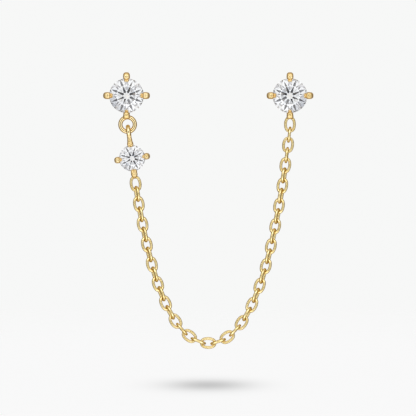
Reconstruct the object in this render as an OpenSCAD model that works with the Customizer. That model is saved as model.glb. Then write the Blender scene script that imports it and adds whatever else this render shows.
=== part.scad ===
// Ear chain earring: two claw-set studs joined by a cable chain that carries a small drop.
// Millimetres, +Z up. The stones face -Y and the posts run along +Y.
// The origin is the root of the left post, on the back face of the left stud.

/* [Stones] */
// Diameter of the two stud stones
stud_stone_d = 4; // [3.4:0.1:4.6]
// Diameter of the drop's stone
drop_stone_d = 3; // [2.6:0.1:3.4]
// Width of the table as a share of the stone's diameter
table_share = 0.56; // [0.5:0.01:0.62]
// Slope of the main facets above the girdle
crown_angle = 34.5; // [32:0.5:37]
// Slope of the main facets below the girdle
pavilion_angle = 40.75; // [39.5:0.25:42]
// Thickness of the girdle as a share of the stone's diameter
girdle_share = 0.03; // [0.02:0.005:0.05]
// How far the star facets reach from the table to the girdle
star_share = 0.5; // [0.4:0.05:0.6]
// How far the lower girdle facets reach from the girdle to the culet
lower_share = 0.77; // [0.6:0.01:0.85]

/* [Studs] */
// Distance between the two studs
stud_spacing = 18.9; // [17:0.1:22]
// Thickness of a stud's claw
stud_claw_d = 0.78; // [0.6:0.02:0.9]
// How far a stud's claw stands out past the edge of its stone
stud_claw_out = 0.7; // [0.55:0.05:0.85]
// Length of the thick part of a stud's claw from its shoulder towards its tip
stud_claw_body = 0.09; // [0.03:0.01:0.15]
// How far a stud's claw tip reaches in over its stone
stud_claw_reach = 0.42; // [0.3:0.02:0.5]
// Thickness of a stud's claw tip
stud_tip_d = 0.58; // [0.45:0.01:0.62]
// Height of a stud's claw shoulder above the girdle
stud_claw_lift = 0.15; // [0.05:0.01:0.25]
// Radius of the circle that a stud's claws stand on
stud_root_r = 1.45; // [1.2:0.05:1.6]
// Diameter of a stud's back plate
stud_plate_d = 3.4; // [3:0.1:3.6]

/* [Posts] */
// Diameter of an ear post
post_d = 0.8; // [0.7:0.05:1]
// Length of an ear post behind the back plate
post_len = 10; // [9:0.5:12]
// Length of the tapered end of a post
post_taper = 0.6; // [0.4:0.1:1]
// Diameter of the blunt end of a post
post_end_d = 0.4; // [0.3:0.05:0.5]

/* [Drop] */
// Thickness of the drop's claw
drop_claw_d = 0.76; // [0.6:0.02:0.85]
// How far the drop's claw stands out past the edge of its stone
drop_claw_out = 0.58; // [0.5:0.02:0.7]
// Length of the thick part of the drop's claw from its shoulder towards its tip
drop_claw_body = 0.03; // [0.02:0.01:0.08]
// How far the drop's claw tip reaches in over its stone
drop_claw_reach = 0.3; // [0.22:0.02:0.38]
// Thickness of the drop's claw tip
drop_tip_d = 0.44; // [0.36:0.02:0.48]
// Height of the drop's claw shoulder above the girdle
drop_claw_lift = 0.12; // [0.05:0.01:0.2]
// Radius of the circle that the drop's claws stand on
drop_root_r = 1; // [0.85:0.05:1.15]
// Diameter of the drop's back plate
drop_plate_d = 2.4; // [2.1:0.1:2.6]
// Thickness of the wire of the bail
bail_wire = 0.52; // [0.44:0.02:0.6]
// Inside diameter of the bail
bail_inner_d = 0.66; // [0.62:0.02:0.8]
// Length of the neck between the drop's upper claw and the bail
neck_len = 0.15; // [0.1:0.01:0.3]
// Length of the neck between the drop's lower claw and its link
drop_link_neck = 0.28; // [0.2:0.02:0.36]

/* [Settings] */
// Thickness of a back plate
plate_t = 0.5; // [0.4:0.05:0.7]
// Bevel round the edge of a back plate
plate_bevel = 0.1; // [0.05:0.01:0.15]
// Clearance between the point of a stone and its back plate
culet_gap = 0.1; // [0.05:0.01:0.2]
// Thickness of the gallery rail that ties the claws together
gallery_t = 0.4; // [0.3:0.02:0.5]
// Height of the gallery rail
gallery_h = 0.4; // [0.3:0.02:0.5]
// How far the gallery rail stays inside the edge of its stone
gallery_tuck = 0.05; // [0.02:0.01:0.1]
// Clearance between the gallery rail and its stone
gallery_gap = 0.14; // [0.08:0.01:0.2]
// Clearance between a claw and its stone
seat_gap = 0.04; // [0.03:0.01:0.06]
// How deep a claw tip is notched where it lies on its stone
tip_bite = 0.1; // [0.06:0.01:0.14]
// How far the chain hangs behind the girdles of the stud stones
chain_set_back = 0.35; // [0.2:0.05:0.5]
// How far the chain meets the drop behind the girdle of its stone
drop_set_back = 0.3; // [0.1:0.05:0.4]

/* [Jump ring] */
// Thickness of the jump ring's wire
ring_wire = 0.5; // [0.42:0.02:0.54]
// Inside diameter of the jump ring
ring_inner_d = 1.17; // [1.1:0.01:1.6]
// Distance between the claw's outer end and the opening of the ring
ring_seat = 0.04; // [0:0.01:0.1]
// Sideways shift of the jump ring towards the chain
ring_shift = 0.12; // [0:0.01:0.16]

/* [Chain] */
// Outside length of a link
link_len = 1.9; // [1.8:0.01:2.1]
// Outside width of a link
link_width = 1.37; // [1.34:0.01:1.5]
// Thickness of a link's wire
link_wire = 0.33; // [0.3:0.01:0.36]
// Inside radius of a link's rounded ends
link_nose = 0.3; // [0.28:0.01:0.32]
// Clearance between two links that hang in each other
link_gap = 0.05; // [0.04:0.01:0.08]
// Number of loose links between the drop and the lowest link
left_links = 17; // [13:1:19]
// Number of loose links between the lowest link and the right stud
right_links = 23; // [19:1:25]
// Turn of the links about the chain along its two sides
link_lean = 18; // [0:1:25]

/* [Hidden] */
$fn = 64;
gold = [0.9, 0.74, 0.43];
clear = [0.93, 0.95, 0.98];

// The side arcs of a link run this far into its end arcs
arc_lap = 0.04;
// A ball or arc that continues a wire starts inside it, and is thinner by this much
wire_step = 0.01;
// A neck ends inside the wire that it is soldered to, at this share of its thickness
neck_share = 0.9;

// A main facet spans two of these steps, and the points between the mains lie at these shares of the radius
half_step = 22.5;
star_at = table_share * cos(half_step) * (1 - star_share) + star_share;
lower_at = 1 - lower_share;
// Slopes from the girdle to those points, which are the steepest ones that a seat has to clear
star_slope = atan((1 - star_at * cos(half_step)) * tan(crown_angle) / (1 - star_at));
lower_slope = atan((1 - lower_at * cos(half_step)) * tan(pavilion_angle) / (1 - lower_at));

// The chain's own sizes
link_inner = link_len - 2 * link_wire;
pitch = link_inner - link_gap;
loose_links = left_links + 1 + right_links;

// Depth of the chain's plane
function girdle_height(d) = plate_t + culet_gap + d * (tan(pavilion_angle) + girdle_share) / 2;
chain_y = chain_set_back - girdle_height(stud_stone_d);

// Distances below the middle of each stone
stud_claw_end = stud_stone_d / 2 + stud_claw_out;
drop_claw_end = drop_stone_d / 2 + drop_claw_out;
ring_drop = stud_claw_end + ring_seat + ring_inner_d / 2;
stud_link_drop = stud_claw_end + link_inner / 2;
bail_rise = drop_claw_end + neck_len + bail_wire + bail_inner_d / 2;
drop_link_drop = drop_claw_end + drop_link_neck + link_inner / 2;
ring_to_bail = (ring_inner_d + bail_inner_d) / 2 - link_gap;
ring_to_stone = ring_to_bail + bail_rise;
ring_to_joint = ring_to_stone + drop_link_drop + pitch / 2;

// The chain hangs in a catenary from the middle of the jump ring to the last joint below the right stud
hang_from = [ring_shift, -ring_drop];
hang_to = [stud_spacing, -stud_link_drop - pitch / 2];
hang_len = ring_to_joint + loose_links * pitch;
span = hang_to.x - hang_from.x;
rise = hang_to.y - hang_from.y;
slack = sqrt(hang_len ^ 2 - rise ^ 2) / span;

function sinh(t) = (exp(t) - exp(-t)) / 2;
function asinh(t) = ln(t + sqrt(t * t + 1));
function atanh(t) = ln((1 + t) / (1 - t)) / 2;

// Halves the range until sinh(u) / u equals the slack
function solve_sag(low, high, steps) =
    let (u = (low + high) / 2)
    steps == 0 ? u
        : sinh(u) / u < slack ? solve_sag(u, high, steps - 1)
        : solve_sag(low, u, steps - 1);

sag_a = span / 2 / solve_sag(0.01, 8, 50);
sag_x = (hang_from.x + hang_to.x) / 2 - sag_a * atanh(rise / hang_len);
start_s = sag_a * sinh((hang_from.x - sag_x) / sag_a);
sag_z = hang_from.y - sqrt(sag_a ^ 2 + start_s ^ 2) + sag_a;

// Point of the hanging curve at the distance s from its lowest point, as [x, z]
function hang(s) = [sag_x + sag_a * asinh(s / sag_a), sag_z - sag_a + sqrt(sag_a ^ 2 + s ^ 2)];
// Joint number k counts along the chain from 0 at the drop
function joint(k) = hang(start_s + ring_to_joint + k * pitch);
function slope(from, to) = atan2(to.y - from.y, to.x - from.x);

// Eases from 0 to 1 while t runs from 0 to 1
function ease(t) = let (c = max(0, min(1, t))) c * c * (3 - 2 * c);
// Turn of the link that lies n places right of the lowest one, which brings near halves inside the curve
function lean(n) = -link_lean * ease((abs(n) - 2) / 4) * (n > 0 ? ease((right_links - 1 - n) / 3) : 1);

function link_name(k) = str("link_", k < 10 ? "0" : "", k);

// A straight rod between two points, with flat ends of the diameters d1 and d2
module rod(from, to, d1, d2) {
    way = to - from;
    translate(from)
        rotate([0, acos(way.z / norm(way)), atan2(way.y, way.x)])
            cylinder(h = norm(way), d1 = d1, d2 = d2);
}

// A straight rod between two points, with round ends
module round_rod(from, to, d) {
    way = to - from;
    translate(from)
        rotate([0, acos(way.z / norm(way)), atan2(way.y, way.x)])
            rotate_extrude()
                intersection() {
                    union() {
                        circle(d = d);
                        translate([-d / 2, 0]) square([d, norm(way)]);
                        translate([0, norm(way)]) circle(d = d);
                    }
                    translate([0, -d]) square([d, norm(way) + 2 * d]);
                }
}

// A ring of round wire about the Z axis, whose seam lies on the inside of the ring
module wire_ring(inner_d, wire) {
    rotate_extrude()
        translate([(inner_d + wire) / 2, 0])
            rotate(180)
                circle(d = wire);
}

// An arc of round wire of the radius bend, centred on the X axis
module wire_arc(bend, wire, angle) {
    rotate([0, 0, -angle / 2])
        rotate_extrude(angle = angle)
            translate([bend, 0])
                circle(d = wire);
}

// An oval link in the XY plane with its length along X: two end arcs and two flatter side arcs
module oval_link() {
    half_len = (link_len - link_wire) / 2;
    half_width = (link_width - link_wire) / 2;
    end_r = link_nose + link_wire / 2;
    end_x = half_len - end_r;
    side_r = (end_x ^ 2 + half_width ^ 2 - end_r ^ 2) / 2 / (half_width - end_r);
    half_side = atan(end_x / (side_r - half_width));
    lap = arc_lap / side_r * 180 / PI;
    for (turn = [0, 180])
        rotate([0, 0, turn]) {
            translate([end_x, 0, 0])
                wire_arc(end_r, link_wire, 180 - 2 * half_side);
            rotate([0, 0, 90])
                translate([half_width - side_r, 0, 0])
                    wire_arc(side_r, link_wire - wire_step, 2 * (half_side + lap));
        }
}

// Round brilliant of the diameter d, table up, with the middle of its girdle at the origin.
// The points between its main facets lie on the X and Y axes, where the claws hold it.
module brilliant(d) {
    r = d / 2;
    girdle = d * girdle_share / 2;
    table_r = r * table_share;
    star_r = r * star_at;
    lower_r = r * lower_at;
    crown_z = function (main_r) girdle + (r - main_r) * tan(crown_angle);
    pavilion_z = function (main_r) -girdle - (r - main_r) * tan(pavilion_angle);
    spoke = function (radius, steps, z)
        [radius * cos((steps + 1) * half_step), radius * sin((steps + 1) * half_step), z];
    eight = [0:7];
    points = concat(
        [for (k = eight) spoke(table_r, 2 * k, crown_z(table_r))],
        [for (k = eight) spoke(star_r, 2 * k + 1, crown_z(star_r * cos(half_step)))],
        [for (k = [0:15]) spoke(r, k, girdle)],
        [for (k = [0:15]) spoke(r, k, -girdle)],
        [for (k = eight) spoke(lower_r, 2 * k + 1, pavilion_z(lower_r * cos(half_step)))],
        [[0, 0, pavilion_z(0)]]
    );
    table = function (k) k % 8;
    star = function (k) 8 + (k + 8) % 8;
    upper = function (k) 16 + k % 16;
    under = function (k) 32 + k % 16;
    lower = function (k) 48 + (k + 8) % 8;
    culet = 56;
    polyhedron(points, concat(
        [[for (k = eight) table(7 - k)]],
        [for (k = eight) [table(k), table(k + 1), star(k)]],
        [for (k = eight) [table(k), star(k), upper(2 * k), star(k - 1)]],
        [for (k = eight) [star(k), upper(2 * k + 1), upper(2 * k)]],
        [for (k = eight) [star(k), upper(2 * k + 2), upper(2 * k + 1)]],
        [for (k = [0:15]) [upper(k), upper(k + 1), under(k + 1), under(k)]],
        [for (k = eight) [lower(k), under(2 * k), under(2 * k + 1)]],
        [for (k = eight) [lower(k), under(2 * k + 1), under(2 * k + 2)]],
        [for (k = eight) [culet, lower(k - 1), under(2 * k), lower(k)]]
    ));
}

// The round space that a stone takes, wider than the stone by the gap on every face
module seat(d, gap) {
    r = d / 2;
    girdle = d * girdle_share / 2;
    corner = function (angle) gap * (1 - sin(angle)) / cos(angle);
    crown_r = r + gap / sin(star_slope);
    top = girdle + r * (1 - table_share) * tan(crown_angle) + gap;
    rotate_extrude()
        polygon([
            [0, -girdle - (r + gap / sin(lower_slope)) * tan(lower_slope)],
            [r + gap, -girdle - corner(lower_slope)],
            [r + gap, girdle + corner(star_slope)],
            [crown_r - (top - girdle) / tan(star_slope), top],
            [0, top]
        ]);
}

// Middle of the shoulder of a claw on the +X side, measured from the middle of the girdle
function shoulder(d, claw_d, out, lift) = [d / 2 + out - claw_d / 2, 0, lift];

// A neck of solder from the shoulder of a claw to the middle of a wire, [across, up, out] from the girdle
module neck(claw_at, up, wire_at, claw_d, wire) {
    rod([0, up * claw_at.x, claw_at.z], wire_at, claw_d * neck_share, wire * neck_share);
}

// One claw on the +X side, with the middle of the stone's girdle at the origin
module claw(d, claw_d, out, body, reach, tip_d, lift, root_r) {
    tip_r = d / 2 - reach + tip_d / 2;
    tip_z = d * girdle_share / 2 + (d / 2 - tip_r) * tan(star_slope)
        + (tip_d / 2 - tip_bite) / cos(star_slope);
    root = [root_r, 0, claw_d / 2 + plate_bevel / 2 - girdle_height(d)];
    bend = shoulder(d, claw_d, out, lift);
    tip = [tip_r, 0, tip_z];
    round_rod(root, bend, claw_d);
    translate(bend + body * (tip - bend) / norm(tip - bend))
        sphere(d = claw_d - wire_step);
    round_rod(bend, tip, tip_d);
}

// Four claws, a gallery rail and a back plate, with the middle of the stone's girdle at the origin.
// The children are necks of solder, which make way for the stone as the claws do.
module basket(d, claw_d, out, body, reach, tip_d, lift, root_r, plate_d) {
    difference() {
        union() {
            for (turn = [0:90:270])
                rotate([0, 0, turn])
                    claw(d, claw_d, out, body, reach, tip_d, lift, root_r);
            children();
        }
        seat(d, seat_gap);
    }
    gallery_rail(d);
    translate([0, 0, -girdle_height(d)])
        back_plate(plate_d);
}

// The ring just below a stone, whose upper inner edge clears the main facets below the girdle
module gallery_rail(d) {
    outer_r = d / 2 - gallery_tuck;
    top = -d * girdle_share / 2 - (gallery_tuck + gallery_t) * tan(pavilion_angle)
        - gallery_gap / cos(pavilion_angle);
    rotate_extrude()
        translate([outer_r - gallery_t, top - gallery_h])
            square([gallery_t, gallery_h]);
}

// A bevelled disc that stands on the XY plane
module back_plate(d) {
    r = d / 2;
    rotate_extrude()
        polygon([
            [0, 0],
            [r - plate_bevel, 0],
            [r, plate_bevel],
            [r, plate_t - plate_bevel],
            [r - plate_bevel, plate_t],
            [0, plate_t]
        ]);
}

// A straight ear post that starts inside the back plate and runs down from the XY plane
module ear_post() {
    translate([0, 0, post_taper - post_len])
        cylinder(h = post_len - post_taper + plate_t / 2, d = post_d);
    translate([0, 0, -post_len])
        cylinder(h = post_taper, d1 = post_end_d, d2 = post_d);
}

// Turns a shape that is modelled table up so that it faces -Y
module face_front() {
    rotate([90, 0, 0])
        children();
}

// Basket and post of a stud, with the root of its post at the origin.
// Its lower neck runs to a wire that is shifted sideways and lies below the middle of the stone.
module stud_metal(shift, wire_drop, wire) {
    claw_at = shoulder(stud_stone_d, stud_claw_d, stud_claw_out, stud_claw_lift);
    face_front() {
        translate([0, 0, girdle_height(stud_stone_d)])
            basket(stud_stone_d, stud_claw_d, stud_claw_out, stud_claw_body, stud_claw_reach, stud_tip_d,
                stud_claw_lift, stud_root_r, stud_plate_d)
                neck(claw_at, -1, [shift, -wire_drop, -chain_set_back], stud_claw_d, wire);
        ear_post();
    }
}

module left_stud_setting() {
    color(gold) {
        stud_metal(ring_shift, ring_drop - (ring_inner_d + ring_wire) / 2, ring_wire);
        translate([ring_shift, chain_y, -ring_drop])
            face_front()
                wire_ring(ring_inner_d, ring_wire);
    }
}

module right_stud_setting() {
    color(gold)
        translate([stud_spacing, 0, 0]) {
            stud_metal(0, stud_link_drop - (link_inner + link_wire) / 2, link_wire);
            translate([0, chain_y, -stud_link_drop])
                face_front()
                    rotate([0, 0, 90])
                        oval_link();
        }
}

module stud_stone(x) {
    color(clear)
        translate([x, -girdle_height(stud_stone_d), 0])
            face_front()
                brilliant(stud_stone_d);
}

module left_stone() {
    stud_stone(0);
}

module right_stone() {
    stud_stone(stud_spacing);
}

// Moves a shape from the middle of the drop stone's girdle to where the drop hangs
module hang_drop() {
    translate([hang_from.x, chain_y, hang_from.y])
        rotate([0, -90 - slope(hang_from, joint(0)), 0])
            translate([0, -drop_set_back, -ring_to_stone])
                children();
}

module drop_setting() {
    claw_at = shoulder(drop_stone_d, drop_claw_d, drop_claw_out, drop_claw_lift);
    bail_wire_y = bail_rise - (bail_inner_d + bail_wire) / 2;
    link_wire_y = (link_inner + link_wire) / 2 - drop_link_drop;
    color(gold)
        hang_drop() {
            face_front()
                basket(drop_stone_d, drop_claw_d, drop_claw_out, drop_claw_body, drop_claw_reach, drop_tip_d,
                    drop_claw_lift, drop_root_r, drop_plate_d) {
                    neck(claw_at, 1, [0, bail_wire_y, -drop_set_back], drop_claw_d, bail_wire);
                    neck(claw_at, -1, [0, link_wire_y, -drop_set_back], drop_claw_d, link_wire);
                }
            translate([0, drop_set_back, bail_rise])
                rotate([0, 90, 0])
                    wire_ring(bail_inner_d, bail_wire);
            translate([0, drop_set_back, -drop_link_drop])
                face_front()
                    rotate([0, 0, 90])
                        oval_link();
        }
}

module drop_stone() {
    color(clear)
        hang_drop()
            face_front()
                brilliant(drop_stone_d);
}

// Loose link number k, counted from the drop
module chain_link(k) {
    from = joint(k - 1);
    to = joint(k);
    place = k - 1 - left_links;
    color(gold)
        translate([(from.x + to.x) / 2, chain_y, (from.y + to.y) / 2])
            rotate([0, -slope(from, to), 0])
                rotate([90 * (1 + abs(place) % 2) + lean(place), 0, 0])
                    oval_link();
}

left_stud_setting();
left_stone();
right_stud_setting();
right_stone();
drop_setting();
drop_stone();
for (k = [1:loose_links])
    chain_link(k);
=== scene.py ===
"""Looks of an ear chain earring: two claw-set studs joined by a cable chain with a small drop.

The classes hold their sizes in millimetres, and finish_piece() turns a mesh into the frame's metres.
X runs from the left stud to the right one, -Y points at the viewer and Z is up.
A stone and its basket are modelled table up, with the middle of the girdle at the origin.
"""
import logging
import math
import random
from dataclasses import dataclass, replace
from enum import Enum

import bpy
from mathutils import Matrix, Vector


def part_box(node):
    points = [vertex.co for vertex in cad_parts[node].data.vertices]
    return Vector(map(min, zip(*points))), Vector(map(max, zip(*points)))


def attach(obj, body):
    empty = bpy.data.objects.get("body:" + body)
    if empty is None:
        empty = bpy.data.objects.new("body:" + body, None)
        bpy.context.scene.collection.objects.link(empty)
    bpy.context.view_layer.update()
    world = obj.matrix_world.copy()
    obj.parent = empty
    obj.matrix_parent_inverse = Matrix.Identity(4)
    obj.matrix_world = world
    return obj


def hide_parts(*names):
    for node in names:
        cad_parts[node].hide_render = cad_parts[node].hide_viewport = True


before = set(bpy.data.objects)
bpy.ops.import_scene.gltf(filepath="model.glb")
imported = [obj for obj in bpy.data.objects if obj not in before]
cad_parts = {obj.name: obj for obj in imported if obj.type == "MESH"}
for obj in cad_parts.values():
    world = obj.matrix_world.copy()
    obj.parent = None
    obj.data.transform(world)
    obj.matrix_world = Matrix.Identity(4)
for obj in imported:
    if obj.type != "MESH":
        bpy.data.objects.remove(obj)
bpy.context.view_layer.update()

BODY = "root"
TO_METRES = Matrix.Scale(0.001, 4)
FACE_FRONT = Matrix.Rotation(math.radians(90), 4, "X")
LENGTH_UP = Matrix.Rotation(math.radians(90), 4, "Z")
HALF_STEP = math.radians(22.5)
FULL_TURN = 2 * math.pi
RING_STEPS = 96
WIRE_SIDES = 32
SEAM_REACH = 0.001
SLIP_LIMIT = 0.00002
# Name of the facet attribute that holds each facet's tint and its painted shade.
FACET_TINT_AND_SHADE = "facet_tint_and_shade"
Piece = bpy.types.Object
Material = bpy.types.Material
Socket = bpy.types.NodeSocket
Sockets = bpy.types.NodeOutputs
Profile = list[tuple[float, float]]
Colour = tuple[float, float, float, float]
Rows = tuple[tuple[float, float, float, float], ...]
log = logging.getLogger("ear_chain")


class Slot(Enum):
    """Names of two material slots, which no piece in this script is given."""

    GOLD = "gold"
    STONE = "stone"


class Arm(Enum):
    """Where a claw stands round its stone, as a turn about the stone's axis in degrees."""

    RIGHT = 0
    TOP = 90
    LEFT = 180
    BOTTOM = 270


class Side(Enum):
    """The two sides of the earring, as the sign that mirrors a stone's small cutting errors."""

    LEFT = 1
    RIGHT = -1


class Shading(Enum):
    """How a piece is shaded, as the angle in degrees below which its edges look smooth."""

    FLAT = 0
    HARD_EDGED = 35
    SMOOTH = 180


def deselect_all() -> None:
    """Goes back to object mode and leaves nothing selected."""
    if bpy.context.object and bpy.context.object.mode != "OBJECT":
        bpy.ops.object.mode_set(mode="OBJECT")
    bpy.ops.object.select_all(action="DESELECT")


def select_only(piece: Piece) -> None:
    """Makes a piece the active object and the only one selected."""
    deselect_all()
    piece.select_set(True)
    bpy.context.view_layer.objects.active = piece


def edit_all(piece: Piece) -> None:
    """Opens a piece in edit mode with all of its mesh selected."""
    select_only(piece)
    bpy.ops.object.mode_set(mode="EDIT")
    bpy.ops.mesh.select_mode(type="VERT")
    bpy.ops.mesh.select_all(action="SELECT")


def name_active(name: str) -> Piece:
    """Names the object that an operator has just made, and its mesh, and returns it."""
    piece = bpy.context.object
    piece.name = name
    piece.data.name = name
    return piece


def place(piece: Piece, matrix: Matrix) -> Piece:
    """Moves a piece's mesh and leaves its object at the origin, and returns the piece."""
    select_only(piece)
    piece.matrix_world = matrix
    bpy.ops.object.transform_apply(location=True, rotation=True, scale=True)
    return piece


def close_seams(piece: Piece) -> Piece:
    """Merges a piece's doubled points and turns its faces outwards, and returns the piece."""
    edit_all(piece)
    bpy.ops.mesh.remove_doubles(threshold=SEAM_REACH)
    bpy.ops.mesh.select_all(action="SELECT")
    bpy.ops.mesh.normals_make_consistent(inside=False)
    bpy.ops.object.mode_set(mode="OBJECT")
    return piece


def copy_of(piece: Piece, name: str) -> Piece:
    """Copies a piece with a mesh of its own, and returns the copy under the given name."""
    twin = piece.copy()
    twin.data = piece.data.copy()
    twin.name = name
    twin.data.name = name
    bpy.context.collection.objects.link(twin)
    return twin


def join(pieces: list[Piece], name: str) -> Piece:
    """Joins pieces to one object of the given name, and returns it."""
    select_only(pieces[0])
    for piece in pieces:
        piece.select_set(True)
    bpy.ops.object.join()
    return name_active(name)


def remove(*pieces: Piece) -> None:
    """Deletes helper objects."""
    for piece in pieces:
        bpy.data.objects.remove(piece)


def apply_modifier(piece: Piece, kind: str, **settings: object) -> None:
    """Adds a modifier with the given settings and applies it.

    Args:
        piece: The object that is changed.
        kind: Blender's name for the type of modifier.
        **settings: Values of the modifier's own settings.
    """
    select_only(piece)
    bpy.ops.object.modifier_add(type=kind)
    modifier = piece.modifiers[-1]
    for key, value in settings.items():
        setattr(modifier, key, value)
    bpy.ops.object.modifier_apply(modifier=modifier.name)


def loft(name: str, rows: Rows) -> Piece:
    """Extrudes and scales a rounded square from section to section.

    Args:
        name: Name of the piece.
        rows: Distance along X, half width, top and bottom of each section.

    Returns:
        A closed piece.
    """
    roundness, corner_steps = 0.7, 7
    middles = [Vector((x, 0, (top + bottom) / 2)) for x, _, top, bottom in rows]
    sizes = [(half_width, (top - bottom) / 2) for _, half_width, top, bottom in rows]
    deselect_all()
    bpy.ops.mesh.primitive_plane_add(size=2)
    piece = name_active(name)
    edit_all(piece)
    bpy.ops.mesh.bevel(offset=roundness, offset_type="OFFSET", segments=corner_steps, affect="VERTICES")
    bpy.ops.object.mode_set(mode="OBJECT")
    place(piece, Matrix.Rotation(math.pi / 2, 4, "Y"))
    place(piece, Matrix.Translation(middles[0]) @ Matrix.Diagonal((1, *sizes[0], 1)))
    edit_all(piece)
    for last, new, last_at, new_at in zip(sizes, sizes[1:], middles, middles[1:]):
        bpy.ops.mesh.extrude_region_move(TRANSFORM_OT_translate={"value": new_at - last_at})
        bpy.ops.transform.resize(value=(1, new[0] / last[0], new[1] / last[1]), center_override=new_at)
    bpy.ops.object.mode_set(mode="OBJECT")
    return close_seams(piece)


def rod(name: str, start: Vector, end: Vector, start_r: float, end_r: float) -> Piece:
    """Models a straight rod with a ball at each end.

    Args:
        name: Name of the piece.
        start: Middle of the first end.
        end: Middle of the second end.
        start_r: Radius at the first end.
        end_r: Radius at the second end.

    Returns:
        The rod.
    """
    way = end - start
    deselect_all()
    bpy.ops.mesh.primitive_cone_add(
        vertices=WIRE_SIDES, radius1=start_r, radius2=end_r, depth=way.length)
    turn = way.to_track_quat("Z", "Y").to_matrix().to_4x4()
    shaft = place(name_active(name), Matrix.Translation((start + end) / 2) @ turn)
    balls = []
    for point, radius in ((start, start_r), (end, end_r)):
        deselect_all()
        bpy.ops.mesh.primitive_uv_sphere_add(
            segments=WIRE_SIDES, ring_count=WIRE_SIDES // 2, radius=radius, location=point)
        balls.append(place(name_active(name + "_end"), Matrix.Translation(point)))
    return join([shaft, *balls], name)


def turned(name: str, profile: Profile, steps: int = RING_STEPS) -> Piece:
    """Spins a profile about the Z axis.

    Args:
        name: Name of the piece.
        profile: Points as distance from the axis and height.
        steps: Number of steps round the axis.

    Returns:
        A closed solid of revolution.
    """
    deselect_all()
    bpy.ops.mesh.primitive_plane_add(size=0.1)
    piece = place(name_active(name), Matrix.Translation((profile[0][0], 0, profile[0][1])))
    edit_all(piece)
    bpy.ops.mesh.merge(type="CENTER")
    for (last_r, last_z), (r, z) in zip(profile, profile[1:]):
        bpy.ops.mesh.extrude_region_move(TRANSFORM_OT_translate={"value": (r - last_r, 0, z - last_z)})
    bpy.ops.mesh.select_all(action="SELECT")
    bpy.ops.mesh.spin(steps=steps, angle=FULL_TURN, center=(0, 0, 0), axis=(0, 0, 1))
    bpy.ops.object.mode_set(mode="OBJECT")
    return close_seams(piece)


@dataclass(frozen=True)
class Arc:
    """An arc of wire in the XY plane.

    Attributes:
        x: Place of its centre along X.
        y: Place of its centre along Y.
        angle: Its angle in radians.
        steps: Number of steps that it is modelled with.
    """

    x: float
    y: float
    angle: float
    steps: int


def bent_wire(name: str, wire: float, start: Vector, arcs: list[Arc], sides: int) -> Piece:
    """Spins a round section along arcs that follow each other to a closed loop.

    Args:
        name: Name of the piece.
        wire: Thickness of the wire.
        start: Where the middle of the wire starts.
        arcs: The arcs in their order.
        sides: Number of sides of the wire.

    Returns:
        A closed loop of wire.
    """
    facing = math.atan2(start.y - arcs[0].y, start.x - arcs[0].x)
    stand = Matrix.Rotation(facing, 4, "Z") @ Matrix.Rotation(math.pi / 2, 4, "X")
    deselect_all()
    bpy.ops.mesh.primitive_circle_add(vertices=sides, radius=wire / 2)
    piece = place(name_active(name), Matrix.Translation(start) @ stand)
    edit_all(piece)
    for arc in arcs:
        bpy.ops.mesh.spin(steps=arc.steps, angle=arc.angle, center=(arc.x, arc.y, 0), axis=(0, 0, -1))
    bpy.ops.object.mode_set(mode="OBJECT")
    return close_seams(piece)


def finish_piece(
    piece: Piece, matrix: Matrix, node: str, finishes: list[Material],
    shading: Shading = Shading.SMOOTH,
) -> None:
    """Puts a piece in its place in the frame and dresses it.

    Args:
        piece: The piece, modelled in millimetres.
        matrix: Its place, in millimetres.
        node: The solid of the part that it stands for.
        finishes: Its materials.
        shading: How it is shaded.
    """
    place(piece, TO_METRES @ matrix)
    piece.data.materials.clear()
    for finish in finishes:
        piece.data.materials.append(finish)
    if shading is not Shading.FLAT:
        select_only(piece)
        bpy.ops.object.shade_smooth_by_angle(angle=math.radians(shading.value))
    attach(piece, BODY)
    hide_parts(node)
    log.info("%s: %d faces, %d materials", piece.name, len(piece.data.polygons), len(finishes))


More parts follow.
